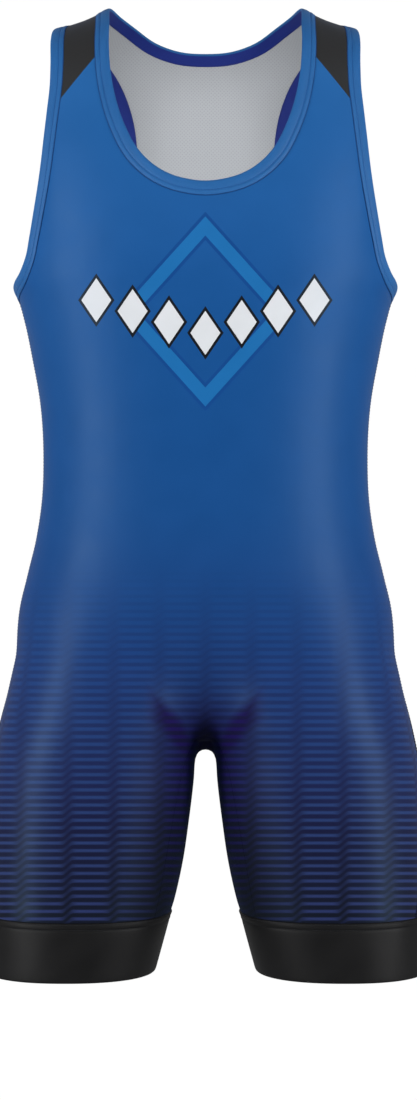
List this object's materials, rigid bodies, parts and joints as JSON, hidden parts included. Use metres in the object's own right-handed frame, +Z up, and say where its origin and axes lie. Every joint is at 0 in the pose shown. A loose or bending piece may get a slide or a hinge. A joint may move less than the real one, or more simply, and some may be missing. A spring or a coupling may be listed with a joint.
{
  "type": "wrestling singlet",
  "caption": "Close-fitting sleeveless wrestling singlet with thigh-length legs, a scooped neck, cut-in back armholes and dark leg bands, filled out and hollow.",
  "frame": {"origin": "on top of the shoulders, midway between the two straps, where the wearer or a display form carries the garment", "axes": "+Z up along the body, +X to the right as seen from the front, the front faces -Y"},
  "size_m": [0.4134, 0.2357, 0.8979],
  "materials": {
    "body_knit": "printed stretch knit, soft sheen",
    "binding_knit": "folded stretch knit band",
    "dark_knit": "black stretch knit"
  },
  "bodies": {
    "root": {"front": "body_knit", "back": "body_knit", "gusset": "body_knit", "neck_binding": "binding_knit", "armhole_binding_right": "binding_knit", "armhole_binding_left": "binding_knit", "side_insert_right": "dark_knit", "side_insert_left": "dark_knit", "cuff_right": "dark_knit", "cuff_left": "dark_knit"}
  },
  "joints": []
}
